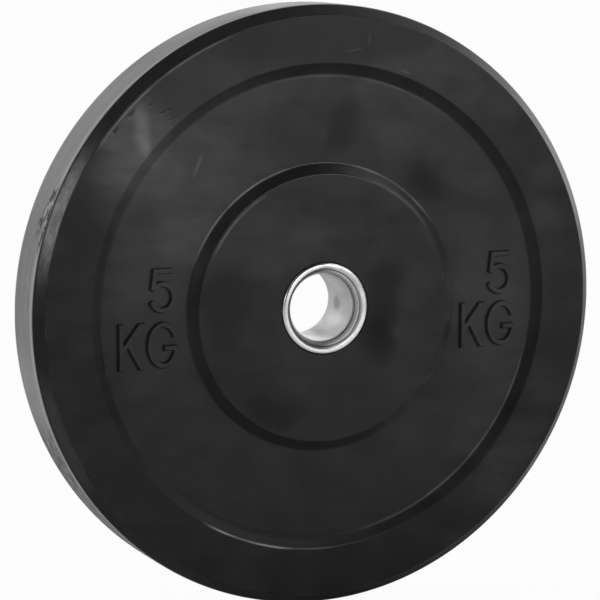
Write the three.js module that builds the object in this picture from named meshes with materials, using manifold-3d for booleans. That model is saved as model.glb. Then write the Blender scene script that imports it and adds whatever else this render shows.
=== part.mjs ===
// Bumper plate for a barbell: a moulded rubber disc vulcanised round a small steel insert.
// The plate stands on its tread. Its axis is Y, its front looks along -Y, and the origin is the centre of the bore.
import * as THREE from "three";
import { mergeVertices } from "three/addons/utils/BufferGeometryUtils.js";
import Module from "manifold-3d";

const wasm = await Module();
wasm.setup();

// Rubber body, in millimetres, from the tread in to the hub
const plateDiameter = 450;
const rimThickness = 57; // over the two rim faces
const chamferReach = 7.8; // how far each edge chamfer comes in from the tread, towards the axis
const chamferDepth = 8.75; // how far it runs along the axis
const rimFaceWidth = 35.3;
const rimStepRun = 7.8; // radial run of the slope from the rim face down to the web
const webRecess = 4.7; // how far the web lies below the rim face
const hubFaceDiameter = 200.6;
const hubStepRun = 7.2; // radial run of the slope from the web up to the hub face
const hubProud = 1.25; // how far the hub face stands above the rim face
const treadEdgeRounding = 2.5;
const rimEdgeRounding = 1.8;
const stepCrestRounding = 2;
const stepRootRounding = 3;
const lipSeatEase = 0.6; // the small bevel where the hub face meets the steel bead

// Bore and inner sleeve
const barEndDiameter = 50;
const barPlay = 0.4; // on the diameter
const sleeveWall = 3.7;
const sleeveRecess = 3.2; // how far each end of the sleeve lies below the lip's crest
const mouthFlare = 2.4; // how far each mouth opens, on the radius
const mouthDepth = 5;
const sleeveEndBevel = 0.5;

// Lip rings
const lipWidth = 5.1; // radial width of the bead
const lipProud = 1.25; // how far the bead's crest stands above the hub face
const beadDepth = 5; // from the bead's crest back to where its undercut starts
const beadUndercut = 3; // length of the cone that runs from the bead in to the neck
const beadOuterRounding = 2.2;
const beadInnerRounding = 1.3;
const neckWall = 2.8;
const neckFillet = 1.5;
const footReach = 12.8; // radial width of the foot flange
const footThickness = 4;

// Anchor disc and the rubber keys through its holes
const anchorThickness = 4;
const anchorBandWidth = 46; // how far the disc reaches past the feet of the lip rings
const keyHoleMargin = 11; // steel left between a hole and either edge of that band
const keyCount = 8;

// Clearances between pieces that seat on each other
const pressGap = 0.3; // between steel and steel
const mouldGap = 0.3; // between steel and rubber
const cutOverrun = 2; // how far a cutting solid runs past what it cuts

// Fineness of the faceted rounds
const plateSides = 84;
const insertSides = 48;
const keySides = 20;
const fineArcSteps = 3;
const plainArcSteps = 2;

// Radii of the rubber body
const plateRadius = plateDiameter / 2;
const rimOuterRadius = plateRadius - chamferReach;
const rimInnerRadius = rimOuterRadius - rimFaceWidth;
const webOuterRadius = rimInnerRadius - rimStepRun;
const hubFaceRadius = hubFaceDiameter / 2;
const webInnerRadius = hubFaceRadius + hubStepRun;

// Places of its faces along the axis, from the middle plane
const rimFace = rimThickness / 2;
const treadEdge = rimFace - chamferDepth;
const webFace = rimFace - webRecess;
const hubFace = rimFace + hubProud;

// Radii of the insert, each from the piece inside it
const boreRadius = (barEndDiameter + barPlay) / 2;
const sleeveRadius = boreRadius + sleeveWall;
const ringBoreRadius = sleeveRadius + pressGap;
const neckRadius = ringBoreRadius + neckWall;
const lipRadius = ringBoreRadius + lipWidth;
const footRadius = ringBoreRadius + footReach;
const anchorRadius = footRadius + anchorBandWidth;
const keyPitchRadius = footRadius + anchorBandWidth / 2;
const keyHoleRadius = anchorBandWidth / 2 - keyHoleMargin;

// Places of the insert's faces along the axis, from the middle plane
const anchorFace = anchorThickness / 2;
const footSeat = anchorFace + pressGap;
const footTop = footSeat + footThickness;
const lipCrest = hubFace + lipProud;
const beadBase = lipCrest - beadDepth;
const neckEnd = beadBase - beadUndercut;
const sleeveEnd = lipCrest - sleeveRecess;

// A corner of an outline: its distance from the axis, its place along the axis, and how it is rounded.
function corner(radius, along, rounding = 0, steps = plainArcSteps) {
  return { at: new THREE.Vector2(radius, along), rounding, steps };
}

// The same corners on the other side of the plate's middle plane, in reverse order so that both halves join up.
function mirrored(corners) {
  return corners
    .map(({ at, rounding, steps }) => corner(at.x, -at.y, rounding, steps))
    .reverse();
}

// Closed outline with an arc at each rounded corner. An arc meets both sides at a tangent and takes up at most
// half of the shorter side, so that neighbouring arcs never cross.
function roundedOutline(corners) {
  const points = [];
  corners.forEach(({ at, rounding, steps }, i) => {
    const before = corners.at(i - 1).at.clone().sub(at);
    const after = corners[(i + 1) % corners.length].at.clone().sub(at);
    const opening = Math.abs(before.angleTo(after));
    if (rounding === 0) {
      points.push(at);
      return;
    }
    const shorterHalf = Math.min(before.length(), after.length()) / 2;
    const setback = Math.min(rounding / Math.tan(opening / 2), shorterHalf);
    const radius = setback * Math.tan(opening / 2);
    const towardsCentre = before.clone().normalize().add(after.clone().normalize()).normalize();
    const centre = at.clone().addScaledVector(towardsCentre, radius / Math.sin(opening / 2));
    const start = at.clone().addScaledVector(before.normalize(), setback).sub(centre);
    const end = at.clone().addScaledVector(after.normalize(), setback).sub(centre);
    const turn = Math.atan2(start.cross(end), start.dot(end));
    for (let step = 0; step <= steps; step++) {
      const spoke = start.clone().rotateAround(new THREE.Vector2(), (turn * step) / steps);
      points.push(spoke.add(centre));
    }
  });
  return points;
}

// Geometry of a ring turned about the Y axis. Its flats, not its edges, lie at the outline's radii, and one flat is
// centred under the axis, so that the plate stands on a flat.
function turned(outline, sides) {
  const edgeShare = 1 / Math.cos(Math.PI / sides);
  const points = outline.map((point) => new THREE.Vector2(point.x * edgeShare, point.y));
  if (THREE.ShapeUtils.isClockWise(points)) points.reverse();
  points.push(points[0].clone());
  return new THREE.LatheGeometry(points, sides, Math.PI / sides);
}

// Regular polygon whose flats lie at the given radius, turned as a turned ring's sides are.
function polygonPoints(radius, sides) {
  const edgeRadius = radius / Math.cos(Math.PI / sides);
  return Array.from({ length: sides }, (_, side) => {
    const angle = ((2 * side + 1) * Math.PI) / sides;
    return new THREE.Vector2(edgeRadius * Math.cos(angle), edgeRadius * Math.sin(angle));
  });
}

// Solid for joining and cutting, made from a closed geometry once its shared corners are merged.
function solid(geometry) {
  const bare = new THREE.BufferGeometry();
  bare.setAttribute("position", geometry.getAttribute("position"));
  bare.setIndex(geometry.index);
  const merged = mergeVertices(bare);
  return new wasm.Manifold(
    new wasm.Mesh({
      numProp: 3,
      vertProperties: new Float32Array(merged.getAttribute("position").array),
      triVerts: new Uint32Array(merged.index.array),
    }),
  );
}

// Geometry of a cut solid, with flat shading.
function geometryOf(cutSolid) {
  const mesh = cutSolid.getMesh();
  const shared = new THREE.BufferGeometry();
  shared.setAttribute("position", new THREE.BufferAttribute(mesh.vertProperties, 3));
  shared.setIndex(new THREE.BufferAttribute(mesh.triVerts, 1));
  const geometry = shared.toNonIndexed();
  geometry.computeVertexNormals();
  return geometry;
}

// Centres of the anchor disc's holes in the disc's plane. The first hole is half a pitch away from straight up.
function keyCentres() {
  return Array.from({ length: keyCount }, (_, key) => {
    const angle = ((2 * key + 1) * Math.PI) / keyCount;
    return new THREE.Vector2(Math.sin(angle), Math.cos(angle)).multiplyScalar(keyPitchRadius);
  });
}

// Materials
const rubberBlack = new THREE.MeshStandardMaterial({ color: 0x1c1c1d, roughness: 0.62, metalness: 0 });
const polishedSteel = new THREE.MeshStandardMaterial({ color: 0xc9cacc, roughness: 0.22, metalness: 1 });
const sleeveSteel = new THREE.MeshStandardMaterial({ color: 0xb4b5b7, roughness: 0.34, metalness: 1 });
const blankSteel = new THREE.MeshStandardMaterial({ color: 0x85878a, roughness: 0.5, metalness: 1 });

// Moulded section of the rubber from the tread in to the hub face, on one side of the middle plane
function bodyCorners() {
  return [
    corner(plateRadius, treadEdge, treadEdgeRounding, fineArcSteps),
    corner(rimOuterRadius, rimFace, rimEdgeRounding),
    corner(rimInnerRadius, rimFace, stepCrestRounding),
    corner(webOuterRadius, webFace, stepRootRounding),
    corner(webInnerRadius, webFace, stepRootRounding),
    corner(hubFaceRadius, hubFace, stepCrestRounding),
    corner(boreRadius, hubFace),
  ];
}

// Space in the rubber that the steel insert fills, with the moulding gap all round it
function pocketCorners() {
  const discFace = anchorFace + mouldGap;
  const footSide = footRadius + mouldGap;
  const footFace = footTop + mouldGap;
  const neckSide = neckRadius + mouldGap;
  const seatSide = lipRadius + mouldGap;
  const cutEnd = hubFace + cutOverrun;
  return [
    corner(anchorRadius + mouldGap, discFace),
    corner(footSide, discFace),
    corner(footSide, footFace),
    corner(neckSide, footFace, neckFillet + mouldGap, 1),
    corner(neckSide, neckEnd - mouldGap),
    corner(seatSide, beadBase - mouldGap),
    corner(seatSide, hubFace - lipSeatEase),
    corner(seatSide + lipSeatEase + cutOverrun, cutEnd),
    corner(boreRadius - cutOverrun, cutEnd),
  ];
}

// Rubber body: the moulded disc, less the insert's pocket. The pocket leaves round keys standing across the
// anchor disc's groove, one through each of its holes, which is what locks the insert in the rubber.
function rubberBody() {
  const front = bodyCorners();
  const disc = solid(turned(roundedOutline([...front, ...mirrored(front)]), plateSides));
  const half = pocketCorners();
  let pocket = solid(turned(roundedOutline([...half, ...mirrored(half)]), insertSides));
  const keyRadius = keyHoleRadius - mouldGap;
  const keyLength = anchorThickness + 2 * (mouldGap + cutOverrun);
  for (const centre of keyCentres()) {
    const key = new THREE.CylinderGeometry(keyRadius, keyRadius, keyLength, keySides);
    pocket = pocket.subtract(solid(key.translate(centre.x, 0, centre.y)));
  }
  return new THREE.Mesh(geometryOf(disc.subtract(pocket)), rubberBlack);
}

// Anchor disc: flat steel with a ring of holes, held between the feet of the two lip rings.
function anchorDisc() {
  const outline = new THREE.Shape(polygonPoints(anchorRadius, insertSides));
  outline.holes.push(new THREE.Path(polygonPoints(ringBoreRadius, insertSides)));
  for (const centre of keyCentres()) {
    const hole = polygonPoints(keyHoleRadius, keySides);
    outline.holes.push(new THREE.Path(hole.map((point) => point.add(centre))));
  }
  const geometry = new THREE.ExtrudeGeometry(outline, { depth: anchorThickness, bevelEnabled: false, steps: 1 });
  const disc = new THREE.Mesh(geometry.translate(0, 0, -anchorFace), blankSteel);
  disc.rotation.x = Math.PI / 2;
  return disc;
}

// Inner sleeve: a tube with both mouths flared to lead the bar in.
function boreSleeve() {
  const half = [
    corner(boreRadius, sleeveEnd - mouthDepth),
    corner(boreRadius + mouthFlare, sleeveEnd),
    corner(sleeveRadius - sleeveEndBevel, sleeveEnd),
    corner(sleeveRadius, sleeveEnd - sleeveEndBevel),
  ];
  return new THREE.Mesh(turned(roundedOutline([...half, ...mirrored(half)]), insertSides), sleeveSteel);
}

// Lip ring: a foot flange against the anchor disc, a neck that the rubber grips, and the rounded bead outside.
function lipRing() {
  const outline = roundedOutline([
    corner(ringBoreRadius, footSeat),
    corner(footRadius, footSeat),
    corner(footRadius, footTop),
    corner(neckRadius, footTop, neckFillet, 1),
    corner(neckRadius, neckEnd),
    corner(lipRadius, beadBase),
    corner(lipRadius, lipCrest, beadOuterRounding, fineArcSteps),
    corner(ringBoreRadius, lipCrest, beadInnerRounding),
  ]);
  return new THREE.Mesh(turned(outline, insertSides), polishedSteel);
}

// Assembly: the insert is stacked on the middle plane, and the front ring is the rear one turned half round.
const bumperPlate = new THREE.Group();
bumperPlate.name = "bumper_plate";

const body = rubberBody();
body.name = "rubber_body";
bumperPlate.add(body);

const insert = new THREE.Group();
insert.name = "steel_insert";
bumperPlate.add(insert);

const disc = anchorDisc();
disc.name = "anchor_disc";
insert.add(disc);

const sleeve = boreSleeve();
sleeve.name = "bore_sleeve";
insert.add(sleeve);

const rearRing = lipRing();
rearRing.name = "rear_lip_ring";
insert.add(rearRing);

const frontRing = lipRing();
frontRing.name = "front_lip_ring";
frontRing.rotation.z = Math.PI;
insert.add(frontRing);

export default bumperPlate;
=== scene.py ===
"""Looks of a moulded rubber bumper plate with a steel insert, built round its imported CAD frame.

Lengths are in millimetres, apart from the camera's distance and clipping and the lamps' distances and sizes,
which are in metres. The bore runs along Y, the front face looks along -Y, and the plate stands on its tread at
the lowest Z. Sizes that the CAD solids also hold are repeated here, because this script reads nothing but the
frame.
"""

import logging
from collections.abc import Sequence
from dataclasses import dataclass
from enum import Enum
from math import atan2, cos, pi, radians, sin, tan
from typing import Any

import bpy
import numpy as np
from bpy.types import Material, Object
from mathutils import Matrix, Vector


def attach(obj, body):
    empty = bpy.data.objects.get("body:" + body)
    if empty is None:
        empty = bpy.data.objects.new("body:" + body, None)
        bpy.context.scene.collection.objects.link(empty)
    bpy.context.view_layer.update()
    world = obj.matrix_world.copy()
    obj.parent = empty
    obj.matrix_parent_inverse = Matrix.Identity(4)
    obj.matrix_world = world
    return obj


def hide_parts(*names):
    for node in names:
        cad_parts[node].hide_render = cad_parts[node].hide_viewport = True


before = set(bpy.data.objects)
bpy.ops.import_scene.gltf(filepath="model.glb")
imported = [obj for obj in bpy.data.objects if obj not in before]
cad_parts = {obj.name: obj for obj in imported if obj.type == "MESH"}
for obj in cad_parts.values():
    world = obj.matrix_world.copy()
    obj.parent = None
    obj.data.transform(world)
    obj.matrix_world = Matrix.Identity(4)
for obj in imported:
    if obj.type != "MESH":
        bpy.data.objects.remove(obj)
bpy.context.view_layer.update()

MM = 0.001
BODY = "root"
BEND_POINTS = 40

Colour = tuple[float, float, float, float]
Place = tuple[float, float, float]
Pair = tuple[float, float]
Line = tuple[Pair, ...]

log = logging.getLogger("bumper_plate")


def grey(level: float) -> Colour:
    """Plain grey of this level."""
    return (level, level, level, 1.0)


def direction(azimuth: float, elevation: float) -> Vector:
    """Direction (sin a cos e, -cos a cos e, sin e) at azimuth a and elevation e, both in degrees."""
    az, el = radians(azimuth), radians(elevation)
    return Vector((sin(az) * cos(el), -cos(az) * cos(el), sin(el)))


# Sizes


@dataclass(frozen=True)
class PlateSizes:
    """Sizes of the rubber that its shape, its marking and its finish share.

    A half is a distance from the middle plane. A pair gives the two between which a border or step lies.
    """

    tread_radius: float = 224.92
    tread_half: float = 19.75
    border_half: Pair = (17.55, 18.75)
    rim_outer: float = 217.2
    rim_inner: float = 181.9
    rim_half: float = 28.5
    web_outer: float = 174.1
    web_inner: float = 107.5
    web_half: float = 23.8
    hub_radius: float = 100.3
    hub_half: float = 29.75
    rim_border: Pair = (216.9, 217.9)
    chamfer_border: Pair = (222.8, 224.0)
    tread_border: Pair = (224.12, 224.72)
    rim_step: Pair = (173.0, 182.6)
    hub_step: Pair = (99.6, 108.4)


# Sections and meshes


@dataclass(frozen=True)
class Corner:
    """Corner of a turned section: its radius, its place along the axis and the radius that rounds it."""

    radius: float
    along: float
    rounding: float = 0.0


@dataclass(frozen=True)
class Shell:
    """Closed surface as points (n, 3) and faces, each an array of point numbers with one face a row."""

    points: np.ndarray
    faces: tuple[np.ndarray, ...]


def mirrored(corners: Sequence[Corner]) -> list[Corner]:
    """Corners on the other side of the middle plane, in reverse order, so that both halves join up."""
    return [Corner(c.radius, -c.along, c.rounding) for c in reversed(corners)]


def rounded_section(corners: Sequence[Corner], steps: int, hold: float) -> np.ndarray:
    """Works out a closed outline with an arc at each rounded corner.

    An arc touches both sides of its corner. It starts at r / tan(opening / 2) from the corner, or at half of
    the shorter side where that is less, and its centre lies on the line that halves the opening. Beside each
    arc, a point on the straight side holds that side flat, so that smooth shading stays on the arc.

    Args:
        corners: Corners in order round the outline.
        steps: Segments in each arc.
        hold: Distance of the holding points from the ends of a side.

    Returns:
        Points (n, 2) of radius and place along the axis, anticlockwise.
    """
    runs: list[np.ndarray] = []
    spots = np.array([(c.radius, c.along) for c in corners])
    for i, corner in enumerate(corners):
        spot = spots[i]
        before = spots[i - 1] - spot
        after = spots[(i + 1) % len(spots)] - spot
        if corner.rounding == 0.0:
            runs.append(spot[None, :])
            continue
        length_before, length_after = np.hypot(*before), np.hypot(*after)
        before, after = before / length_before, after / length_after
        opening = np.arccos(np.clip(before @ after, -1.0, 1.0))
        setback = min(corner.rounding / tan(opening / 2), min(length_before, length_after) / 2)
        radius = setback * tan(opening / 2)
        middle = (before + after) / np.hypot(*(before + after))
        centre = spot + middle * radius / sin(opening / 2)
        start = spot + before * setback - centre
        end = spot + after * setback - centre
        turn = atan2(start[0] * end[1] - start[1] * end[0], start @ end)
        angles = turn * np.linspace(0.0, 1.0, steps + 1)
        quarter = np.array([-start[1], start[0]])
        runs.append(centre + (start * np.cos(angles)[:, None] + quarter * np.sin(angles)[:, None]))
    held: list[np.ndarray] = []
    for run, following in zip(runs, runs[1:] + runs[:1]):
        held.append(run)
        side = following[0] - run[-1]
        length = np.hypot(*side)
        if length > 3 * hold:
            held.append(run[-1] + side / length * np.array([[hold], [length - hold]]))
    outline = np.concatenate(held)
    following = np.roll(outline, -1, axis=0)
    area = np.sum(outline[:, 0] * following[:, 1] - following[:, 0] * outline[:, 1])
    return outline if area > 0 else outline[::-1]


def turned_shell(outline: np.ndarray, sides: int) -> Shell:
    """Turns a closed outline about the Y axis.

    A point at radius r, place a and turn t lies at (r cos t, a, r sin t). An anticlockwise outline gives
    faces that point outwards.

    Args:
        outline: Points (n, 2) of radius and place along the axis, anticlockwise.
        sides: Points round the axis.

    Returns:
        The ring.
    """
    turn = np.linspace(0.0, 2 * pi, sides, endpoint=False)
    radius, along = outline[:, :1], outline[:, 1:]
    grid = np.stack([radius * np.cos(turn), along + 0 * turn, radius * np.sin(turn)], axis=-1)
    number = np.arange(len(outline) * sides).reshape(len(outline), sides)
    onward = np.roll(number, -1, axis=0)
    quads = np.stack([number, onward, np.roll(onward, -1, axis=1), np.roll(number, -1, axis=1)], axis=-1)
    return Shell(grid.reshape(-1, 3), (quads.reshape(-1, 4),))


def key_shell(centre: Pair, radius: float, half_length: float, sides: int) -> Shell:
    """Works out a round key that runs along Y, closed by a fan of triangles at each end.

    At turn t its wall lies at the centre plus the radius times cos t in X and sin t in Z.

    Args:
        centre: X and Z of its axis.
        radius: Its radius.
        half_length: Half its length.
        sides: Points round it.

    Returns:
        The key.
    """
    turn = np.linspace(0.0, 2 * pi, sides, endpoint=False)
    ring = np.stack([centre[0] + radius * np.cos(turn), 0 * turn, centre[1] + radius * np.sin(turn)], axis=1)
    step = np.array([0.0, half_length, 0.0])
    pole = np.array([[centre[0], 0.0, centre[1]]])
    points = np.concatenate([ring - step, ring + step, pole - step, pole + step])
    near = np.arange(sides)
    beyond = np.roll(near, -1)
    walls = np.stack([near, near + sides, beyond + sides, beyond], axis=1)
    front = np.stack([np.full(sides, 2 * sides), near, beyond], axis=1)
    rear = np.stack([np.full(sides, 2 * sides + 1), beyond + sides, near + sides], axis=1)
    return Shell(points, (walls, front, rear))


def joined(shells: Sequence[Shell]) -> Shell:
    """Puts several shells into one list of points and faces.

    The point numbers of each shell grow by the number of points before it.

    Args:
        shells: Shells to join.

    Returns:
        One shell that holds them all.
    """
    faces: list[np.ndarray] = []
    count = 0
    for shell in shells:
        faces.extend(rows + count for rows in shell.faces)
        count += len(shell.points)
    return Shell(np.concatenate([shell.points for shell in shells]), tuple(faces))


def piece_from(name: str, shell: Shell, material: Material) -> Object:
    """Makes a smooth-shaded object at the origin from a shell.

    Args:
        name: The piece's name.
        shell: Its points and faces.
        material: Its finish.

    Returns:
        The object, linked to the scene.
    """
    mesh = bpy.data.meshes.new(name)
    corners = np.concatenate([rows.ravel() for rows in shell.faces])
    counts = np.concatenate([np.full(len(rows), rows.shape[1]) for rows in shell.faces])
    starts = np.concatenate([[0], np.cumsum(counts)[:-1]])
    mesh.vertices.add(len(shell.points))
    mesh.vertices.foreach_set("co", (shell.points * MM).astype(np.float32).ravel())
    mesh.loops.add(len(corners))
    mesh.loops.foreach_set("vertex_index", corners.astype(np.int32))
    mesh.polygons.add(len(counts))
    mesh.polygons.foreach_set("loop_start", starts.astype(np.int32))
    mesh.update(calc_edges=True)
    mesh.polygons.foreach_set("use_smooth", np.ones(len(counts), dtype=bool))
    mesh.materials.append(material)
    obj = bpy.data.objects.new(name, mesh)
    bpy.context.scene.collection.objects.link(obj)
    return obj


# Shader expressions


def found(sockets: Any, key: str | int) -> bpy.types.NodeSocket:
    """Socket with this number, identifier or name."""
    return sockets[key] if isinstance(key, int) else next(s for s in sockets if key in (s.identifier, s.name))


class Sock:
    """A node's output in a shader expression. Its operators add Math nodes to the same tree."""

    def __init__(self, shader: "Shader", output: bpy.types.NodeSocket) -> None:
        """Wraps one output of a node."""
        self.shader = shader
        self.output = output

    def out(self, name: str) -> "Sock":
        """Gives another output of the same node."""
        return Sock(self.shader, found(self.output.node.outputs, name))

    def __add__(self, other: "Sock | float") -> "Sock":
        """Sum."""
        return self.shader.math("ADD", self, other)

    __radd__ = __add__

    def __sub__(self, other: "Sock | float") -> "Sock":
        """Difference."""
        return self.shader.math("SUBTRACT", self, other)

    def __rsub__(self, other: float) -> "Sock":
        """Difference from a number on the left."""
        return self.shader.math("SUBTRACT", other, self)

    def __mul__(self, other: "Sock | float") -> "Sock":
        """Product."""
        return self.shader.math("MULTIPLY", self, other)

    __rmul__ = __mul__

    def __truediv__(self, other: "Sock | float") -> "Sock":
        """Quotient."""
        return self.shader.math("DIVIDE", self, other)

    def __abs__(self) -> "Sock":
        """Size without its sign."""
        return self.shader.math("ABSOLUTE", self)

    def swing(self, depth: float) -> "Sock":
        """Noise about 0.5 turned into a swing about 0."""
        return (self - 0.5) * depth


class Shader:
    """A node tree that is emptied and then built node by node."""

    def __init__(self, tree: bpy.types.NodeTree) -> None:
        """Takes over a tree."""
        self.tree = tree
        tree.nodes.clear()

    def node(
        self,
        kind: str,
        settings: dict[str, Any] | None = None,
        inputs: dict[str | int, Any] | None = None,
    ) -> Sock | None:
        """Adds any node.

        Args:
            kind: The node's type.
            settings: Its properties, set first.
            inputs: Values or links of its sockets, by identifier, name or number.

        Returns:
            Its first output, or None where it has none.
        """
        made = self.tree.nodes.new(kind)
        for key, value in (settings or {}).items():
            setattr(made, key, value)
        for key, value in (inputs or {}).items():
            if isinstance(value, Sock):
                self.tree.links.new(value.output, found(made.inputs, key))
            else:
                found(made.inputs, key).default_value = value
        return Sock(self, made.outputs[0]) if made.outputs else None

    def math(self, operation: str, *values: Sock | float) -> Sock:
        """Adds a Math node on these values."""
        return self.node("ShaderNodeMath", {"operation": operation}, dict(enumerate(values)))

    def held(self, value: Sock) -> Sock:
        """Value held between 0 and 1."""
        return self.math("MINIMUM", self.math("MAXIMUM", value, 0.0), 1.0)

    def length(self, first: Sock, second: Sock) -> Sock:
        """Length of a vector with these two parts."""
        return self.math("SQRT", first * first + second * second)

    def vector(self, operation: str, *values: Any) -> Sock:
        """Adds a Vector Math node on these vectors."""
        return self.node("ShaderNodeVectorMath", {"operation": operation}, dict(enumerate(values)))

    def place(self) -> Sock:
        """Object coordinates, turned into millimetres in the plate's own frame."""
        metres = self.node("ShaderNodeTexCoord").out("Object")
        return self.vector("MULTIPLY", metres, (1 / MM, 1 / MM, 1 / MM))

    def parts(self, vector: Sock) -> tuple[Sock, Sock, Sock]:
        """Splits a vector into its three parts."""
        split = self.node("ShaderNodeSeparateXYZ", None, {0: vector})
        return split.out("X"), split.out("Y"), split.out("Z")

    def joined(self, x: Sock | float, y: Sock | float, z: Sock | float) -> Sock:
        """Makes a vector of three parts."""
        return self.node("ShaderNodeCombineXYZ", None, {0: x, 1: y, 2: z})

    def noise(self, vector: Sock, scale: float, detail: float = 2.0, roughness: float = 0.5) -> Sock:
        """Fractal noise about 0.5, with that many features a metre."""
        values = {"Vector": vector, "Scale": scale * MM, "Detail": detail, "Roughness": roughness}
        return self.node("ShaderNodeTexNoise", {"noise_dimensions": "3D"}, values)

    def lines(self, value: Sock, scale: float, detail: float = 2.0) -> Sock:
        """Fractal noise about 0.5 along one value, with that many features a metre."""
        values = {"W": value, "Scale": scale * MM, "Detail": detail}
        return self.node("ShaderNodeTexNoise", {"noise_dimensions": "1D"}, values)

    def rise(self, value: Sock, low: float, high: float, start: float = 0.0, end: float = 1.0) -> Sock:
        """Smooth step from start to end as the value goes from low to high."""
        limits = {"Value": value, "From Min": low, "From Max": high, "To Min": start, "To Max": end}
        return self.node("ShaderNodeMapRange", {"interpolation_type": "SMOOTHSTEP"}, limits)

    def fall(self, value: Sock, low: float, high: float) -> Sock:
        """Smooth step from 1 to 0 as the value goes from low to high."""
        return self.rise(value, low, high, 1.0, 0.0)

    def blend(self, factor: Sock, first: Any, second: Any) -> Sock:
        """Mixes two colours, each a link or a value, by the second one's share."""
        sockets = {"Factor_Float": factor, "A_Color": first, "B_Color": second}
        return self.node("ShaderNodeMix", {"data_type": "RGBA"}, sockets).out("Result_Color")

    def bump(self, height: Sock, distance: float, below: Sock | None = None) -> Sock:
        """Bump from a height, of which 1 stands for the distance, on top of the bump below it."""
        values = {"Height": height, "Distance": distance * MM, "Strength": 1.0}
        return self.node("ShaderNodeBump", None, values | ({"Normal": below} if below else {}))

    def surface(self, inputs: dict[str | int, Any]) -> None:
        """Ends a material with the Principled shader on these inputs."""
        shaded = self.node("ShaderNodeBsdfPrincipled", None, inputs)
        self.node("ShaderNodeOutputMaterial", None, {"Surface": shaded})

    def patch(self, place: Sock, spot: "Patch") -> Sock:
        """Soft patch that is 1 at its centre and 0 outside its half sizes.

        Args:
            place: Object coordinates.
            spot: The patch's centre, half sizes and turn.

        Returns:
            The mask.
        """
        turned = (0.0, radians(spot.turn), 0.0)
        reach = (spot.half_size[0], spot.depth, spot.half_size[1])
        values = {"Vector": place, "Location": spot.centre, "Rotation": turned, "Scale": reach}
        local = self.node("ShaderNodeMapping", {"vector_type": "TEXTURE"}, values)
        return self.fall(self.vector("LENGTH", local).out("Value"), spot.core, 1.0)

    def patches(self, place: Sock, spots: Sequence["Patch"]) -> Sock | int:
        """Sum of soft patches, each times its strength."""
        return sum(self.patch(place, spot) * spot.strength for spot in spots)

    def ring_line(self, x: Sock, z: Sock, radius: Sock, line: "RingLine") -> Sock:
        """Line on a ring that fades out at both ends.

        Args:
            x: X of the place.
            z: Z of the place.
            radius: Distance from the axis.
            line: The line.

        Returns:
            The mask.
        """
        turn = radians(line.middle)
        facing = (x * cos(turn) + z * sin(turn)) / radius
        fade, full = cos(radians(line.spread)), cos(radians(line.spread * 0.4))
        across = self.fall(abs(radius - line.radius), line.half_width * 0.3, line.half_width)
        return across * self.rise(facing, fade, full)

    def ring_lines(self, x: Sock, z: Sock, radius: Sock, lines: Sequence["RingLine"]) -> Sock | int:
        """Sum of lines on rings, each times its strength."""
        return sum(self.ring_line(x, z, radius, line) * line.strength for line in lines)


# Finishes


@dataclass(frozen=True)
class Patch:
    """Soft patch on a surface.

    It has half sizes in X and Z, a turn about Y in degrees, the share of its reach that is full, and a half
    size in Y as its depth.
    """

    centre: Place
    half_size: Pair
    strength: float
    turn: float = 0.0
    core: float = 0.15
    depth: float = 30.0


@dataclass(frozen=True)
class RingLine:
    """Line on a ring: radius and half width, middle and half spread in degrees, and strength."""

    radius: float
    half_width: float
    middle: float
    spread: float
    strength: float


def material_with(name: str) -> tuple[Material, Shader]:
    """Makes an empty node material.

    Args:
        name: The material's name.

    Returns:
        The material and its tree to build in.
    """
    material = bpy.data.materials.new(name)
    material.use_nodes = True
    return material, Shader(material.node_tree)


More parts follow.
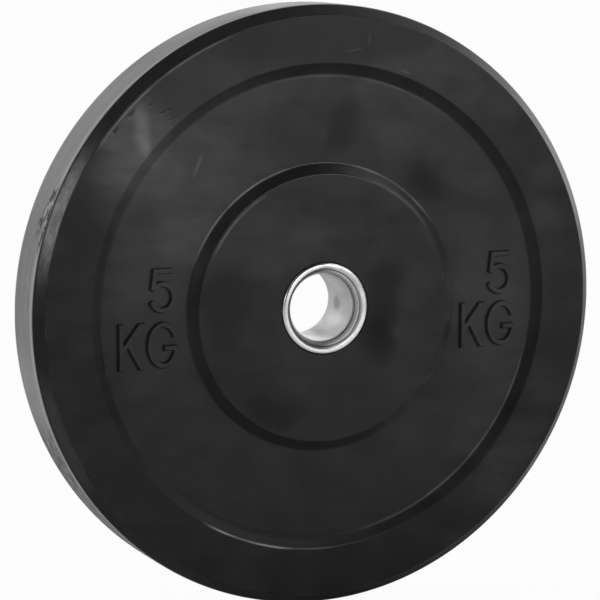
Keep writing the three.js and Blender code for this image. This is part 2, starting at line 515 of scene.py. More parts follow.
@dataclass(frozen=True)
class MouldedRubber:
    """Black moulded rubber: satin, mottled, with soft smudged patches on its faces, a dusty tread and scuffed
    edges, and painted light in its colour.

    Dust and painted light are worked out as one share: 0 is clean rubber and 1 is the pale colour, which is
    that of dusty rubber and in some places also paints highlights, reflections and light.
    """

    name: str = "moulded_rubber"
    black: Colour = (0.0065, 0.0065, 0.0068, 1.0)
    dust_and_light: Colour = (0.34, 0.34, 0.345, 1.0)
    roughness: float = 0.32
    sheen_level: float = 0.175
    plate: PlateSizes = PlateSizes()
    step_fade: Pair = (1.5, 1.0)
    tread_edge_fade: Pair = (0.3, 1.6)
    rim_edge_fade: Pair = (0.2, 1.2)
    face_dust_and_sheen: float = 0.026
    rim_share: float = 0.45
    step_share: float = 0.6
    chamfer_dust: float = 0.018
    # Pale line on the rim's outer edge: dust and a painted highlight on its rounding.
    rim_edge_dust_and_highlight: float = 0.04
    # Pale tread: dust, and painted light on its left side.
    tread_dust_and_light: float = 0.52
    # Pale band at the tread's edges: dust and a painted highlight on the rounding.
    border_dust_and_highlight: float = 0.35
    scuff_dust: float = 0.45
    scuff_clearing: float = 0.97
    smear: float = 35.0
    swell_depth: float = 0.40
    pebble_depth: float = 0.14
    grain_depth: float = 0.016
    nick_depth: float = 0.25
    # Patches of dust on the faces; the strong ones on the upper left also paint a soft reflection there.
    smudges_and_reflections: tuple[Patch, ...] = (
        Patch((-149, -28.5, 128), (48, 36), 0.135, -48, 0.3),
        Patch((-112, -24, 86), (110, 72), 0.054, -51, 0.35),
        Patch((-110, -24, 62), (30, 36), 0.026, 0, 0.2),
        Patch((-136, -24, -4), (46, 60), 0.028, 0, 0.4),
        Patch((137, -24, -4), (44, 66), 0.031, 0, 0.4),
        Patch((-30, -24, 162), (50, 12), 0.018, -10),
        Patch((62, -24, 132), (30, 18), 0.024, 12),
        Patch((132, -24, 82), (20, 18), 0.022, 20),
        Patch((118, -24, 50), (30, 26), 0.014),
        Patch((136, -24, -86), (24, 60), 0.022, 32),
        Patch((152, -28.5, -132), (50, 34), 0.030, -49, 0.3),
        Patch((-36, -30, 50), (58, 34), 0.034, -20, 0.3),
        Patch((-120, -24, 106), (30, 22), 0.030, -48),
        Patch((-88, -24, 88), (26, 18), 0.020, -45),
        Patch((182, -28.5, 66), (20, 36), 0.024, -20),
        Patch((-192, -28.5, 6), (22, 50), 0.014),
        Patch((186, -28.5, -82), (20, 40), 0.018, 24),
        Patch((-136, -28.5, -150), (45, 22), 0.012, 42),
    )
    # Small marks; the first two are the pale core of the painted reflection on the upper left of the rim, the
    # rest are scratches and streaks.
    marks: tuple[Patch, ...] = (
        Patch((-142.5, -28.5, 137), (9, 25), 0.17, -4),
        Patch((-139, -28.5, 124), (5, 9), 0.10),
        Patch((-98, -24, 110), (2.2, 13), 0.09, 24),
        Patch((36, -28.5, 199), (1.6, 7), 0.07, 8),
        Patch((24, -28.5, 191), (11, 1.4), 0.06, -8),
        Patch((65, -28.5, 174), (8, 1.6), 0.06, 20),
        Patch((-148, -28.5, 150), (12, 2.6), 0.06, -40),
    )
    nicks: tuple[Patch, ...] = (
        Patch((-151, -28.5, 149), (6, 2.2), 1.0, -44),
        Patch((-163, -28.5, 138), (5, 2), 1.0, -48),
        Patch((-136, -28.5, 155), (3, 1.6), 0.8, -42),
        Patch((-125, -28.5, 150), (7, 1.4), 0.7, -20),
        Patch((-119, -28.5, 145), (5, 1.4), 0.7, -30),
        Patch((-24, -30, -88), (3, 3), 0.7),
        Patch((-212.5, -19.2, 73), (30, 23), 1.0, 19, 0.5, depth=1.4),
    )
    # Patches with less of the pale colour and a rougher gloss, which make the faces darker and duller there.
    dimmer_patches: tuple[Patch, ...] = (
        Patch((52, -30, 12), (28, 52), 0.034, 10),
        Patch((40, -30, -24), (28, 26), 0.042, 25),
        Patch((86, -26, 90), (42, 34), 0.034, 40),
        Patch((16, -24, 136), (30, 32), 0.028),
        Patch((-190, -28.5, 66), (24, 60), 0.016, -18),
        Patch((0, -28.5, -190), (150, 45), 0.010),
        Patch((10, -28.5, 202), (160, 34), 0.019, 0, 0.5),
        Patch((200, -28.5, -10), (30, 70), 0.010, 0, 0.5),
        Patch((-58, -30, -60), (70, 38), 0.024, 45),
        Patch((-84, -30, 10), (26, 60), 0.024),
        Patch((-56, -24, -146), (80, 24), 0.010, 20),
        Patch((-34, -30, -80), (50, 20), 0.018, 20),
    )
    # Pale patches on the chamfer's inner part: a painted reflection of a softbox high on the left, mixed with
    # scuffs.
    chamfer_reflection_and_scuffs: tuple[Patch, ...] = (
        Patch((-205.5, -24.5, 80), (30, 60), 0.56, 22, 0.2, depth=20),
        Patch((-205.5, -24.5, -84), (23, 64), 0.085, -21.5, 0.35, depth=20),
        Patch((-205.5, -24.5, 80), (32, 92), 0.075, 22, 0.45, depth=20),
    )
    # Fields on the tread: the big one on the left paints light on that side.
    tread_fields: tuple[Patch, ...] = (
        Patch((-200, -19, 0), (150, 330), 0.36, 0, 0.4, depth=6),
        Patch((-180, 0, 135), (80, 85), 0.12, 37, 0.4, depth=50),
        Patch((-217.5, 0, -56), (30, 45), 0.22, -15, 0.3, depth=50),
        Patch((-200, 8, -102), (30, 50), -0.14, -27, 0.3, depth=26),
    )
    tread_scuffs: tuple[Patch, ...] = (
        Patch((-205.5, -15, 91.5), (30, 13), 1.0, 22, 0.4, depth=6.6),
        Patch((-210, -12, 80.5), (30, 13), 1.0, 20, 0.4, depth=7.4),
        Patch((-213.5, -8, 70), (30, 12), 0.9, 18, 0.4, depth=7),
        Patch((-217, -17.4, 60), (30, 17), 0.9, 16, 0.5, depth=3.2),
    )
    coarse: tuple[Patch, ...] = (Patch((-190, 0, -118), (60, 75), 2.6, -32, 0.4, depth=50),)
    # Pale lines on crests and edges: painted highlights, partly rubbed wear; the broad line at radius 104
    # paints light on the right of the hub step.
    ring_lines: tuple[RingLine, ...] = (
        RingLine(107.8, 1.1, 130, 32, 0.26),
        RingLine(107.7, 1.4, 56, 24, 0.18),
        RingLine(98.2, 1.1, 136, 20, 0.20),
        RingLine(101.0, 2.0, 52, 20, 0.09),
        RingLine(172.4, 1.4, 82, 32, 0.07),
        RingLine(182.3, 1.1, 250, 13, 0.50),
        RingLine(182.3, 0.9, 262, 14, 0.12),
        RingLine(104.0, 5.0, -20, 58, 0.055),
        RingLine(173.2, 0.9, 314, 38, 0.15),
        RingLine(215.6, 0.8, 127, 20, 0.27),
    )
    hazes: tuple[RingLine, ...] = (
        RingLine(174.0, 4.0, 246, 44, 0.30),
        RingLine(182.8, 3.0, 318, 44, 0.30),
        RingLine(221.5, 5.5, 292, 34, 0.30),
    )

    def faces(self, shader: Shader, radius: Sock) -> Sock:
        """Marks the flat faces inside the rim's outer edge, with less on the sloped steps.

        Args:
            shader: The tree to build in.
            radius: Distance from the axis.

        Returns:
            The mask.
        """
        flat = shader.fall(radius, *self.plate.rim_border)
        for low, high in (self.plate.rim_step, self.plate.hub_step):
            middle, reach = (low + high) / 2, (high - low) / 2
            inside, outside = self.step_fade
            off_step = abs(radius - middle)
            flat = flat * shader.rise(off_step, reach - inside, reach + outside, self.step_share)
        return flat

    def paint(self) -> Material:
        """Builds the material.

        Returns:
            The material, on Object coordinates.
        """
        material, shader = material_with(self.name)
        place = shader.place()
        x, along, z = shader.parts(place)
        radius = shader.length(x, z)
        half = abs(along)

        # Noises, from broad to fine, and then those that are drawn out
        broad = shader.noise(place, 9.0, 3.0)
        blotch = shader.noise(place, 38.0, 3.0, 0.55)
        fine = shader.noise(place, 240.0, 3.0, 0.6)
        drift = shader.vector("SUBTRACT", shader.noise(place, 20.0, 3.0, 0.6).out("Color"), (0.5, 0.5, 0.5))
        smeared = shader.vector("ADD", place, shader.vector("MULTIPLY", drift, (self.smear, 0.0, self.smear)))
        wiped = shader.noise(shader.joined(x * 0.35 + z * 0.15, along * 0.5, z), 60.0, 4.0, 0.6)
        round_tread = shader.noise(shader.joined(x, along * 9.0, z), 22.0, 4.0, 0.65)
        scratch = shader.noise(shader.joined(x, along * 30.0, z), 30.0, 5.0, 0.7)
        gouge = shader.noise(shader.joined(x * 0.5, along * 2.0, z * 0.8), 150.0, 3.0, 0.65)

        # Zones
        plate = self.plate
        tread = shader.rise(radius, *plate.tread_border)
        border = tread * shader.rise(half, *plate.border_half)
        edge_gap = shader.length(radius - plate.tread_radius, half - plate.tread_half)
        edge = shader.fall(edge_gap, *self.tread_edge_fade)
        chamfer = shader.rise(radius, *plate.rim_border) * (1 - tread)
        inner_chamfer = chamfer * shader.rise(radius, *plate.chamfer_border, 1.0, 0.15)
        rim_gap = shader.length(radius - plate.rim_outer, half - plate.rim_half)
        rim_edge = shader.fall(rim_gap, *self.rim_edge_fade)

        # Dust and painted light on faces, tread and edges
        inner_share = shader.rise(radius, *plate.rim_step, 1.0, self.rim_share)
        face_dust_and_sheen = self.face_dust_and_sheen * inner_share + broad.swing(0.05) + blotch.swing(0.035) + wiped.swing(0.04)
        # Smudges, which also paint a soft reflection on the upper left, and small marks.
        face_dust_and_sheen = face_dust_and_sheen + shader.patches(smeared, self.smudges_and_reflections) * (wiped * 1.4 + 0.3)
        face_dust_and_sheen = face_dust_and_sheen + shader.patches(place, self.marks) * (wiped + 0.5)
        # Darker, duller patches on the faces.
        dimmer_patches = shader.patches(smeared, self.dimmer_patches)
        # Painted highlights along crests and edges, partly rubbed wear.
        lit_and_rubbed = shader.ring_lines(x, z, radius, self.ring_lines) * shader.rise(wiped, 0.36, 0.60, 0.45, 1.10)
        # The tread's pale colour: dust, with painted light on its left side.
        tread_dust_and_light = self.tread_dust_and_light + round_tread.swing(0.36) + fine.swing(0.16)
        tread_dust_and_light = tread_dust_and_light + shader.patches(place, self.tread_fields)
        tread_dust_and_light = tread_dust_and_light + shader.patches(place, self.coarse) * gouge.swing(1.0)
        # Pale lines at the tread's border and the rim's edge: dust and painted highlights on the roundings.
        edge_dust_and_highlights = border * self.border_dust_and_highlight + chamfer * self.chamfer_dust
        edge_dust_and_highlights = edge_dust_and_highlights + rim_edge * shader.rise(blotch, 0.46, 0.62) * self.rim_edge_dust_and_highlight
        # Painted reflection and scuffs on the chamfer.
        chamfer_reflection_and_scuffs = shader.patches(place, self.chamfer_reflection_and_scuffs) * (gouge * 1.6 + 0.2)
        dust_and_light = (face_dust_and_sheen - dimmer_patches) * self.faces(shader, radius) + lit_and_rubbed + tread_dust_and_light * tread
        dust_and_light = dust_and_light + edge_dust_and_highlights + chamfer_reflection_and_scuffs * inner_chamfer

        # Scuffs and nicks, which clear the dust or leave pale rims
        scuffed = shader.held(shader.patches(place, self.tread_scuffs) * tread)
        scuffs = shader.rise(gouge, 0.475, 0.53) * scuffed
        dust_and_light = dust_and_light * (1 - scuffs * self.scuff_clearing)
        dust_and_light = dust_and_light + shader.fall(gouge, 0.38, 0.46) * scuffed * self.scuff_dust
        nicked = shader.patches(place, self.nicks) * shader.rise(fine, 0.40, 0.55, 0.35, 1.1)
        dust_and_light = shader.held(dust_and_light * (1 - shader.held(nicked)))

        # Gloss and relief
        rough = self.roughness + broad.swing(0.12) + blotch.swing(0.14) + tread * 0.12 + dimmer_patches * 8.0
        rough = rough + shader.ring_lines(x, z, radius, self.hazes)
        swell = shader.bump(shader.noise(place, 26.0), self.swell_depth)
        pebbles = shader.bump(blotch, self.pebble_depth, swell)
        grain = shader.bump(fine, self.grain_depth, pebbles)
        damage = edge * shader.rise(scratch, 0.55, 0.72) + scuffs * 1.5 - nicked
        # The pale share carries dust together with the painted highlights, reflections and light.
        shader.surface(
            {
                "Base Color": shader.blend(dust_and_light, self.black, self.dust_and_light),
                "Roughness": rough,
                "Specular IOR Level": self.sheen_level,
                "Normal": shader.bump(damage, self.nick_depth, grain),
            }
        )
        return material


class Lay(Enum):
    """Direction in which the tool's marks run on a turned or bored steel face."""

    ROUND_THE_FACE = "round the face"
    ROUND_THE_BORE = "round the bore"


@dataclass(frozen=True)
class ShadeAndLightBand:
    """Band round the bore that paints shade when dark and light when pale.

    It lies between two radii and beyond a distance from the middle plane, with a share for each side.
    """

    low: float
    high: float
    beyond: float
    left_share: float
    right_share: float
    # Dark colour, which paints shade.
    colour: Colour = (0.035, 0.035, 0.036, 1.0)


@dataclass(frozen=True)
class TurnedSteel:
    """Bare steel off the lathe: fine tool marks, soft smudged patches with painted reflection, uneven gloss, a
    wear line with a painted highlight at an edge, and bands of painted shade and light.

    The edge line of wear and painted highlight is given by its distance from the middle plane, where 0 stands
    for none.
    """

    name: str
    colour: Colour
    shade: Colour
    roughness: float
    lay: Lay
    # Patches of smudge and painted reflection.
    smudges_and_reflections: tuple[Patch, ...] = ()
    stained: float = 0.10
    bands: tuple[ShadeAndLightBand, ...] = ()
    band_sides: Pair = (-6.0, 20.0)
    band_cover: float = 0.95
    band_fade: float = 0.2
    lit_worn_edge: float = 0.0
    lit_worn_fade: Pair = (0.4, 1.2)
    lit_worn_colour: Colour = grey(0.80)
    marks_a_metre: float = 2600.0
    mark_depth: float = 0.004

    def paint(self) -> Material:
        """Builds the material.

        Returns:
            The material, on Object coordinates.
        """
        material, shader = material_with(self.name)
        place = shader.place()
        x, along, z = shader.parts(place)
        radius = shader.length(x, z)
        across = radius if self.lay is Lay.ROUND_THE_FACE else along
        marks = shader.lines(across, self.marks_a_metre, 3.0)
        cloud = shader.noise(place, 120.0, 3.0, 0.6)
        spots = shader.noise(place, 420.0, 3.0, 0.6)
        stain = cloud.swing(0.5) + shader.rise(spots, 0.62, 0.75) * 0.18 + self.stained
        # Smudges and painted reflection.
        stain = shader.held(stain + shader.patches(place, self.smudges_and_reflections))
        colour = shader.blend(stain, self.colour, self.shade)
        rough = self.roughness + marks.swing(0.10) + cloud.swing(0.12) + stain * 0.10
        metal: Sock | float = 1.0
        # Pale, less metallic line at the bore's edge: wear and a painted highlight.
        if self.lit_worn_edge:
            lit_worn = shader.fall(abs(abs(along) - self.lit_worn_edge), *self.lit_worn_fade)
            lit_worn = lit_worn * shader.rise(cloud, 0.35, 0.60, 0.35, 1.0)
            colour = shader.blend(lit_worn, colour, self.lit_worn_colour)
            metal = 1 - lit_worn * 0.85
        # Bands of painted shade (dark) and painted light (pale), stronger on one side.
        for band in self.bands:
            middle, reach = (band.low + band.high) / 2, (band.high - band.low) / 2
            painted_band = shader.fall(abs(radius - middle), reach * 0.7, reach)
            start, full = band.beyond - self.band_fade, band.beyond + self.band_fade
            painted_band = painted_band * shader.rise(abs(along), start, full)
            painted_band = painted_band * shader.rise(x, *self.band_sides, band.left_share, band.right_share)
            colour = shader.blend(painted_band * self.band_cover, colour, band.colour)
            rough = rough + painted_band * 0.3
            metal = metal * (1 - painted_band * self.band_cover)
        normal = shader.bump(marks, self.mark_depth)
        shader.surface({"Base Color": colour, "Metallic": metal, "Roughness": rough, "Normal": normal})
        return material


POLISHED_LIP = TurnedSteel(
    name="polished_lip_steel",
    colour=(0.94, 0.94, 0.935, 1.0),
    shade=grey(0.22),
    roughness=0.24,
    lay=Lay.ROUND_THE_FACE,
    # Darker patches on the lip: smudges, and painted reflection on its upper right and sides.
    smudges_and_reflections=(
        Patch((21, -31, 22), (22, 4.2), 0.55, 45, 0.4, depth=10),
        Patch((4, -31, 30.5), (14, 4), 0.35, 8, 0.3, depth=10),
        Patch((31.5, -31, 2), (4, 12), 0.30, depth=10),
        Patch((-31.5, -31, 2), (4, 14), 0.32, depth=10),
        Patch((-8, -31, 30.5), (24, 7), 0.30, -14, depth=10),
    ),
    # Painted shade in the seam at the lip's inner rounding, mostly on the left, and painted light on the right
    # of its bead.
    bands=(
        ShadeAndLightBand(28.2, 30.8, 29.7, 1.0, 0.10),
        ShadeAndLightBand(28.6, 30.2, 27.0, 0.0, 0.80, grey(0.72)),
    ),
)
BORED_SLEEVE = TurnedSteel(
    name="bored_sleeve_steel",
    colour=grey(0.56),
    shade=(0.28, 0.28, 0.285, 1.0),
    roughness=0.34,
    lay=Lay.ROUND_THE_BORE,
    # Smudges on the bore wall; the negative ones paint a lighter reflection on its right.
    smudges_and_reflections=(
        Patch((24.6, 6, -2), (6, 7), 0.75, depth=9),
        Patch((21.5, 0, -13), (10, 8), -0.40, depth=24),
        Patch((8, 6, -24), (16, 6), 0.45),
        Patch((20.5, 0, 14), (10, 12), -0.30),
    ),
    stained=0.46,
    # Painted shade where the sleeve's end meets the lip, on the left, and painted light on the mouth's right.
    bands=(
        ShadeAndLightBand(27.3, 29.6, 27.5, 1.0, 0.0),
        ShadeAndLightBand(26.2, 29.4, 25.0, 0.0, 0.85, grey(0.72)),
    ),
    # Line of wear and painted highlight at the bore's edge.
    lit_worn_edge=22.8,
)
ROLLED_BLANK = TurnedSteel(
    name="rolled_blank_steel",
    colour=(0.30, 0.30, 0.31, 1.0),
    shade=(0.17, 0.16, 0.15, 1.0),
    roughness=0.45,
    lay=Lay.ROUND_THE_FACE,
)


# Rubber body and its raised marking


@dataclass(frozen=True)
class RubberBody:
    """Moulded rubber disc with chamfered tread, rim, recessed web and hub, and the pocket for the insert."""

    rubber: Material
    plate: PlateSizes = PlateSizes()
    parting_rise: float = 0.06
    parting_crest: float = 0.12
    parting_half: float = 0.5
    crest_rounding: float = 0.1
    ridge_rounding: float = 0.4
    tread_rounding: float = 0.9
    rim_outer_rounding: float = 1.2
    rim_inner_rounding: float = 1.6
    web_outer_rounding: float = 2.8
    web_inner_rounding: float = 2.6
    hub_rounding: float = 1.8
    seat_radius: float = 34.6
    seat_bevel: float = 0.5
    seat_drop: float = 0.7
    seat_rounding: float = 0.4
    undercut_half: float = 25.7
    neck_half: float = 22.7
    neck_radius: float = 32.3
    foot_half: float = 6.6
    foot_radius: float = 42.3
    foot_fillet: float = 1.8
    disc_half: float = 2.3
    disc_radius: float = 88.3
    key_radius: float = 11.7
    key_pitch: float = 65.0
    key_half: float = 3.5
    key_sides: int = 40
    keys: int = 8
    sides: int = 320
    arc_steps: int = 7
    hold: float = 0.3

    def section(self) -> list[Corner]:
        """Works out the corners of the section.

        Returns:
            Corners from the tread over the rear face to the pocket's deepest groove, and back over the front.
        """
        plate = self.plate
        half = [
            Corner(plate.tread_radius + self.parting_rise, self.parting_crest, self.crest_rounding),
            Corner(plate.tread_radius, self.parting_half, self.ridge_rounding),
            Corner(plate.tread_radius, plate.tread_half, self.tread_rounding),
            Corner(plate.rim_outer, plate.rim_half, self.rim_outer_rounding),
            Corner(plate.rim_inner, plate.rim_half, self.rim_inner_rounding),
            Corner(plate.web_outer, plate.web_half, self.web_outer_rounding),
            Corner(plate.web_inner, plate.web_half, self.web_inner_rounding),
            Corner(plate.hub_radius, plate.hub_half, self.hub_rounding),
            Corner(self.seat_radius + self.seat_bevel, plate.hub_half, self.seat_rounding),
            Corner(self.seat_radius, plate.hub_half - self.seat_drop, self.seat_rounding),
            Corner(self.seat_radius, self.undercut_half),
            Corner(self.neck_radius, self.neck_half),
            Corner(self.neck_radius, self.foot_half, self.foot_fillet),
            Corner(self.foot_radius, self.foot_half),
            Corner(self.foot_radius, self.disc_half),
            Corner(self.disc_radius, self.disc_half),
        ]
        return half + mirrored(half)

    def build(self) -> Object:
        """Turns the section and stands the keys in its groove.

        Returns:
            The rubber body.
        """
        shells = [turned_shell(rounded_section(self.section(), self.arc_steps, self.hold), self.sides)]
        for key in range(self.keys):
            angle = (2 * key + 1) * pi / self.keys
            centre = (self.key_pitch * sin(angle), self.key_pitch * cos(angle))
            shells.append(key_shell(centre, self.key_radius, self.key_half, self.key_sides))
        body = piece_from("moulded_body", joined(shells), self.rubber)
        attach(body, BODY)
        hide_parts("rubber_body")
        return body


def stroke_gap(line: Line, spots: np.ndarray, half_width: float) -> np.ndarray:
    """Signed distance to the edge of a square-ended stroke, below zero inside it.

    Each piece of the line counts as a round-ended bar: the distance to the line less the half width. Its two
    ends take the greater of the distance beside the line and the distance beyond its end.

    Args:
        line: Points of the stroke's middle line.
        spots: Points (n, 2).
        half_width: Half the stroke's width.

    Returns:
        Distances (n,).
    """
    points = np.array(line)
    starts, ends = points[:-1], points[1:]
    lengths = np.hypot(*(ends - starts).T)
    headings = (ends - starts) / lengths[:, None]
    offset = spots[:, None, :] - starts
    forward = np.sum(offset * headings, axis=2)
    beside = np.abs(offset[:, :, 0] * headings[:, 1] - offset[:, :, 1] * headings[:, 0])
    short = np.maximum(-forward, 0.0)
    beyond = np.maximum(forward - lengths, 0.0)
    gaps = np.hypot(beside, short + beyond) - half_width
    gaps[:, 0] = np.maximum(np.hypot(beside[:, 0], beyond[:, 0]) - half_width, -forward[:, 0])
    tail = np.maximum(np.hypot(beside[:, -1], short[:, -1]) - half_width, forward[:, -1] - lengths[-1])
    gaps[:, -1] = np.maximum(tail, -forward[:, 0]) if len(points) == 2 else tail
    return gaps.min(axis=1)


def bend(centre: Pair, reach: Pair, start: float, end: float) -> Line:
    """Points of part of an ellipse: at turn t, the centre plus the reach times cos t and sin t.

    Args:
        centre: The loop's centre.
        reach: Its half width and half height.
        start: First turn in degrees, anticlockwise from the right.
        end: Last turn in degrees.

    Returns:
        The points in order.
    """
    turn = np.radians(np.linspace(start, end, BEND_POINTS))
    return tuple(zip(centre[0] + reach[0] * np.cos(turn), centre[1] + reach[1] * np.sin(turn)))


@dataclass(frozen=True)
class Character:
    """Plain block character: its strokes, from its lower left corner, and its width."""

    strokes: tuple[Line, ...]
    width: float


@dataclass(frozen=True)
class RaisedMarking:
    """Plain weight marking in raised rubber on the web: a figure over the unit, left and right of the hub."""

    rubber: Material
    height: float = 34.6
    stroke: float = 4.3
    plate: PlateSizes = PlateSizes()
    rise: float = 3.2
    sunk: float = 0.35
    bed: float = 0.9
    pitch: float = 0.26
    margin: float = 1.5
    spare: float = 1.0
    crest: float = -0.8
    foot: float = 0.3
    left_block: float = -161.4
    right_block: float = 113.4
    left_figure: Pair = (23.1, 1.7)
    right_figure: Pair = (21.4, 0.7)
    first_place: Pair = (0.0, -37.7)
    second_place: Pair = (22.0, -37.7)

    def characters(self) -> tuple[Character, Character, Character]:
        """Draws the characters of the marking in a plain block hand.

        Returns:
            The figure and the unit's two letters.
        """
        top = self.height
        half = self.stroke / 2
        middle = top / 2
        figure = (
            ((19.7, top - half), (4.6, top - half)),
            ((5.95, top), (3.9, 18.6)),
            bend((11.2, 13.25), (8.75, 9.65), 146.0, -161.0),
        )
        first = (
            ((half, 0.0), (half, top)),
            ((2.6, 13.75), (20.1, 36.9)),
            ((7.8, 20.0), (19.3, -1.3)),
        )
        second = (
            bend((12.7, middle), (10.5, middle - half), 22.0, 352.0),
            ((13.2, 15.1), (23.7, 15.1)),
        )
        return Character(figure, 22.1), Character(first, 21.2), Character(second, 23.8)

    def shell(self, character: Character, left: float, low: float) -> Shell:
        """Raises a character from the web as a closed body that reaches a little into the rubber.

        On a grid over the character, s is the signed distance to its edge, below zero inside. The upper
        sheet stands at rise x (1 - smooth step of s from crest to foot), and beyond the foot it sinks below
        the web. The lower sheet lies in the rubber. Cells further out than the margin are left out, and the
        two sheets share the points along that border, which closes the body.

        Args:
            character: The character.
            left: X of its lower left corner.
            low: Z of that corner.

        Returns:
            The closed body on the front face.
        """
        border = self.margin + self.spare
        across = np.arange(-border, character.width + border, self.pitch)
        upward = np.arange(-border, self.height + border, self.pitch)
        grid_x, grid_z = np.meshgrid(across, upward, indexing="ij")
        spots = np.stack([grid_x.ravel(), grid_z.ravel()], axis=1)
        gaps = np.min([stroke_gap(line, spots, self.stroke / 2) for line in character.strokes], axis=0)
        gaps = np.max([gaps, -spots[:, 1], spots[:, 1] - self.height], axis=0).reshape(grid_x.shape)

        slope = np.clip((gaps - self.crest) / (self.foot - self.crest), 0.0, 1.0)
        sinking = np.clip((gaps - self.foot) / (self.margin - self.foot), 0.0, 1.0)
        level = self.rise * (1 - slope**2 * (3 - 2 * slope)) - self.sunk * np.sqrt(sinking)

        near = gaps < self.margin
        cells = near[:-1, :-1] | near[1:, :-1] | near[:-1, 1:] | near[1:, 1:]
        around = np.zeros((cells.shape[0] + 2, cells.shape[1] + 2), dtype=int)
        around[1:-1, 1:-1] = cells
        touching = around[:-1, :-1] + around[1:, :-1] + around[:-1, 1:] + around[1:, 1:]
        used, inner = touching > 0, touching == 4

        upper = np.full(used.shape, -1)
        upper[used] = np.arange(used.sum())
        lower = upper.copy()
        lower[inner] = used.sum() + np.arange(inner.sum())
        top = np.stack([left + grid_x, grid_z * 0.0, low + grid_z], axis=-1)
        bottom = top.copy()
        top[..., 1] = -(self.plate.web_half + level)
        bottom[..., 1] = -(self.plate.web_half - self.bed)
        points = np.concatenate([top[used], bottom[inner]])

        def quads(number: np.ndarray) -> np.ndarray:
            """Cells as rows of four point numbers that face the front."""
            rows = np.stack([number[:-1, :-1], number[1:, :-1], number[1:, 1:], number[:-1, 1:]], axis=-1)
            return rows[cells]

        return Shell(points, (quads(upper), quads(lower)[:, ::-1]))

    def build(self) -> list[Object]:
        """Sets a marking on each side of the hub, on both faces.

        The rear face carries the front's markings turned half round about the vertical, to read the same way.

        Returns:
            The four markings.
        """
        shapes = self.characters()
        pieces: list[Object] = []
        for side, start, figure_place in (
            ("left", self.left_block, self.left_figure),
            ("right", self.right_block, self.right_figure),
        ):
            places = (figure_place, self.first_place, self.second_place)
            shells = [self.shell(shape, start + x, z) for shape, (x, z) in zip(shapes, places)]
            front = joined(shells)
            rear = Shell(front.points * np.array([-1.0, -1.0, 1.0]), front.faces)
            for face, shell in (("front", front), ("rear", rear)):
                piece = piece_from(f"weight_marking_{face}_{side}", shell, self.rubber)
                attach(piece, BODY)
                pieces.append(piece)
        return pieces


# Steel insert


@dataclass(frozen=True)
class SteelInsert:
    """Steel insert: a lip ring on each side, the bored sleeve between them and the hidden anchor disc."""

    lip_steel: Material
    sleeve_steel: Material
    blank_steel: Material
    bore_radius: float = 25.2
    mouth_radius: float = 27.6
    mouth_depth: float = 5.0
    sleeve_radius: float = 28.9
    sleeve_half: float = 27.8
    end_bevel: float = 0.5
    throat_rounding: float = 1.2
    mouth_rounding: float = 0.22
    bevel_rounding: float = 0.12
    ring_bore: float = 29.2
    neck_radius: float = 32.0
    lip_radius: float = 34.3
    foot_radius: float = 42.0
    foot_seat: float = 2.3
    foot_top: float = 6.3
    neck_end: float = 23.0
    bead_base: float = 26.0
    lip_crest: float = 31.0
    seat_rounding: float = 0.2
    edge_rounding: float = 0.3
    foot_fillet: float = 1.5
    lip_rounding: float = 2.2
    inner_rounding: float = 1.3
    sides: int = 224
    arc_steps: int = 7
    hold: float = 0.12

    def sleeve_section(self) -> list[Corner]:
        """Works out the corners of the sleeve's section.

        Returns:
            Corners from the bore over the rear end to the outside, and back over the front end.
        """
        half = [
            Corner(self.bore_radius, self.sleeve_half - self.mouth_depth, self.throat_rounding),
            Corner(self.mouth_radius, self.sleeve_half, self.mouth_rounding),
            Corner(self.sleeve_radius - self.end_bevel, self.sleeve_half, self.bevel_rounding),
            Corner(self.sleeve_radius, self.sleeve_half - self.end_bevel, self.bevel_rounding),
        ]
        return half + mirrored(half)

    def ring_section(self, side: int) -> list[Corner]:
        """Works out the corners of a lip ring's section.

        Args:
            side: -1 for the front and 1 for the rear.

        Returns:
            Corners from the foot's seat over the foot and the neck to the lip's crest.
        """
        corners = [
            Corner(self.ring_bore, self.foot_seat, self.seat_rounding),
            Corner(self.foot_radius, self.foot_seat, self.edge_rounding),
            Corner(self.foot_radius, self.foot_top, self.edge_rounding),
            Corner(self.neck_radius, self.foot_top, self.foot_fillet),
            Corner(self.neck_radius, self.neck_end, self.edge_rounding),
            Corner(self.lip_radius, self.bead_base, self.edge_rounding),
            Corner(self.lip_radius, self.lip_crest, self.lip_rounding),
            Corner(self.ring_bore, self.lip_crest, self.inner_rounding),
        ]
        return [Corner(c.radius, side * c.along, c.rounding) for c in corners]

    def ring(self, name: str, side: int, node: str) -> Object:
        """Builds one lip ring.

        Args:
            name: The piece's name.
            side: -1 for the front and 1 for the rear.
            node: CAD node that it stands for.

        Returns:
            The ring.
        """
        outline = rounded_section(self.ring_section(side), self.arc_steps, self.hold)
        ring = piece_from(name, turned_shell(outline, self.sides), self.lip_steel)
        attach(ring, BODY)
        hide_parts(node)
        return ring

    def build(self) -> list[Object]:
        """Builds the rings and the sleeve, and gives the anchor disc its finish.

        Returns:
            The new pieces.
        """
        outline = rounded_section(self.sleeve_section(), self.arc_steps, self.hold)
        sleeve = piece_from("bored_sleeve", turned_shell(outline, self.sides), self.sleeve_steel)
        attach(sleeve, BODY)
        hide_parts("bore_sleeve")
        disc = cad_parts["anchor_disc"]
        for slot in disc.material_slots:
            slot.material = self.blank_steel
        return [
            self.ring("lip_ring_front", -1, "front_lip_ring"),
            self.ring("lip_ring_rear", 1, "rear_lip_ring"),
            sleeve,
        ]


# Studio


@dataclass(frozen=True)
class Softbox:
    """Area lamp that aims at the bore: name, direction, distance and size in metres, and power."""

    name: str
    towards: Place
    distance: float
    size: Pair
    watts: float


@dataclass(frozen=True)
class Panel:
    """Soft bright field of the surround: middle, half angle, level and half angle of its core, in degrees."""

    azimuth: float
    elevation: float
    reach: float
    level: float
    core: float = 4.0


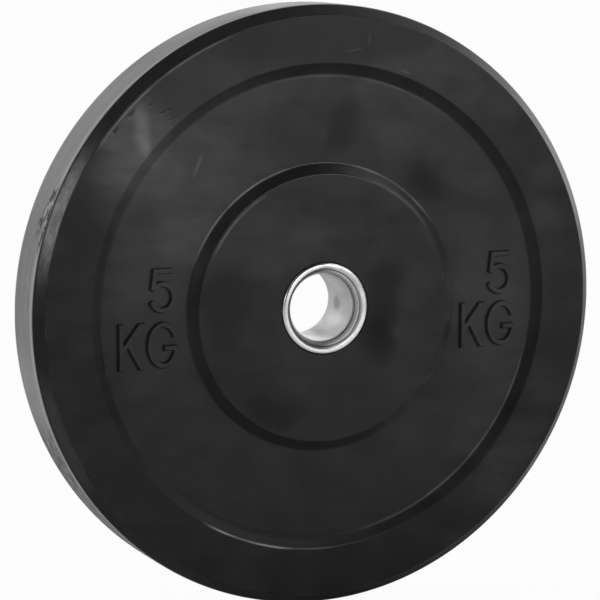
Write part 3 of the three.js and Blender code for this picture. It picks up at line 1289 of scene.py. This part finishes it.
@dataclass(frozen=True)
class Studio:
    """White studio: a pale floor, a surround of soft bright fields, a few softboxes, and the camera."""

    azimuth: float = -23.02
    elevation: float = 8.39
    distance: float = 2.2368
    lens: float = 178.57
    sensor: float = 36.0
    shift: Pair = (-0.01564, 0.00514)
    clip: Pair = (0.05, 200.0)
    floor_level: float = -225.0
    floor_half: float = 30000.0
    floor_grey: float = 0.64
    floor_seen: float = 0.96
    floor_mirrored: float = 0.85
    mirrored_from: float = 100.0
    mirrored_full: float = 900.0
    surround: float = 0.05
    panels: tuple[Panel, ...] = (
        Panel(26.0, 2.0, 28.0, 2.3),
        Panel(106.0, 6.0, 28.0, 2.6),
        Panel(87.0, 38.0, 30.0, 2.4),
        Panel(-112.0, 10.0, 30.0, 1.1),
        Panel(-125.0, 45.0, 34.0, 2.1),
        Panel(180.0, 10.0, 60.0, 0.9, 30.0),
        Panel(155.0, 14.0, 22.0, 1.2),
    )
    softboxes: tuple[Softbox, ...] = (
        Softbox("key_softbox", (0.60, -1.10, 0.36), 1.30, (0.34, 0.16), 4.2),
        Softbox("fill_softbox", (0.10, -1.15, 0.34), 1.25, (0.5, 0.24), 1.6),
        Softbox("left_softbox", (-0.887, -0.412, 0.228), 1.7, (0.30, 0.34), 1.6),
    )

    def camera(self) -> None:
        """Stands the camera where the photograph was taken from, looking at the middle of the bore."""
        back = direction(self.azimuth, self.elevation)
        data = bpy.data.cameras.new("studio_camera")
        data.sensor_width = self.sensor
        data.lens = self.lens
        data.shift_x, data.shift_y = self.shift
        data.clip_start, data.clip_end = self.clip
        camera = bpy.data.objects.new("studio_camera", data)
        camera.rotation_mode = "QUATERNION"
        camera.rotation_quaternion = (-back).to_track_quat("-Z", "Y")
        camera.location = back * self.distance
        bpy.context.scene.collection.objects.link(camera)
        bpy.context.scene.camera = camera

    def lamps(self) -> None:
        """Hangs the softboxes, each turned to the bore."""
        for box in self.softboxes:
            data = bpy.data.lights.new(box.name, "AREA")
            data.shape = "RECTANGLE"
            data.size, data.size_y = box.size
            data.energy = box.watts
            lamp = bpy.data.objects.new(box.name, data)
            spot = Vector(box.towards).normalized() * box.distance
            lamp.location = spot
            lamp.rotation_mode = "QUATERNION"
            lamp.rotation_quaternion = (-spot).to_track_quat("-Z", "Y")
            lamp.visible_camera = False
            bpy.context.scene.collection.objects.link(lamp)

    def world(self) -> None:
        """Surrounds the plate: white to the camera, and for the light a dim surround with soft bright fields.

        Each panel adds its level times a smooth step of the cosine between the ray and the panel's direction.
        """
        world = bpy.data.worlds.new("studio_surround")
        world.use_nodes = True
        bpy.context.scene.world = world
        shader = Shader(world.node_tree)
        towards = shader.node("ShaderNodeTexCoord").out("Object")
        light: Sock | float = self.surround
        for panel in self.panels:
            aim = direction(panel.azimuth, panel.elevation)
            facing = shader.vector("DOT_PRODUCT", towards, aim).out("Value")
            edge, full = cos(radians(panel.reach)), cos(radians(panel.core))
            light = light + shader.rise(facing, edge, full, 0.0, panel.level)
        path = shader.node("ShaderNodeLightPath")
        seen = shader.math("MAXIMUM", path.out("Is Camera Ray"), path.out("Is Transmission Ray"))
        strength = light + seen * (1 - light)
        glow = shader.node("ShaderNodeBackground", None, {"Color": grey(1.0), "Strength": strength})
        shader.node("ShaderNodeOutputWorld", None, {"Surface": glow})

    def floor(self) -> None:
        """Lays the pale floor, nearly white to the camera and, behind the plate, to the plate's gloss."""
        material, shader = material_with("pale_floor")
        pale = shader.node("ShaderNodeBsdfDiffuse", None, {"Color": grey(self.floor_grey)})
        white = shader.node("ShaderNodeEmission", None, {"Color": grey(1.0), "Strength": 1.0})
        path = shader.node("ShaderNodeLightPath")
        along = shader.parts(shader.place())[1]
        behind = shader.rise(along, self.mirrored_from, self.mirrored_full)
        mirrored_white = path.out("Is Glossy Ray") * behind * self.floor_mirrored
        seen = shader.math("MAXIMUM", path.out("Is Camera Ray") * self.floor_seen, mirrored_white)
        surface = shader.node("ShaderNodeMixShader", None, {0: seen, 1: pale, 2: white})
        shader.node("ShaderNodeOutputMaterial", None, {"Surface": surface})
        corners = np.array([(-1, -1), (1, -1), (1, 1), (-1, 1)]) * self.floor_half
        points = np.concatenate([corners, np.full((4, 1), self.floor_level)], axis=1)
        floor = piece_from("studio_floor", Shell(points, (np.array([[0, 1, 2, 3]]),)), material)


def main() -> None:
    """Sets up the studio, builds the plate's pieces in order and reports each one."""
    logging.basicConfig(level=logging.INFO, format="%(name)s: %(message)s")
    bpy.context.scene.view_settings.view_transform = "Standard"
    studio = Studio()
    studio.camera()
    studio.world()
    studio.floor()
    studio.lamps()

    rubber = MouldedRubber().paint()
    lip_steel, sleeve_steel, blank_steel = POLISHED_LIP.paint(), BORED_SLEEVE.paint(), ROLLED_BLANK.paint()
    pieces = [RubberBody(rubber).build()]
    pieces += RaisedMarking(rubber).build()
    pieces += SteelInsert(lip_steel, sleeve_steel, blank_steel).build()
    for piece in pieces:
        log.info("%s: %d faces", piece.name, len(piece.data.polygons))


if __name__ == "__main__":
    main()
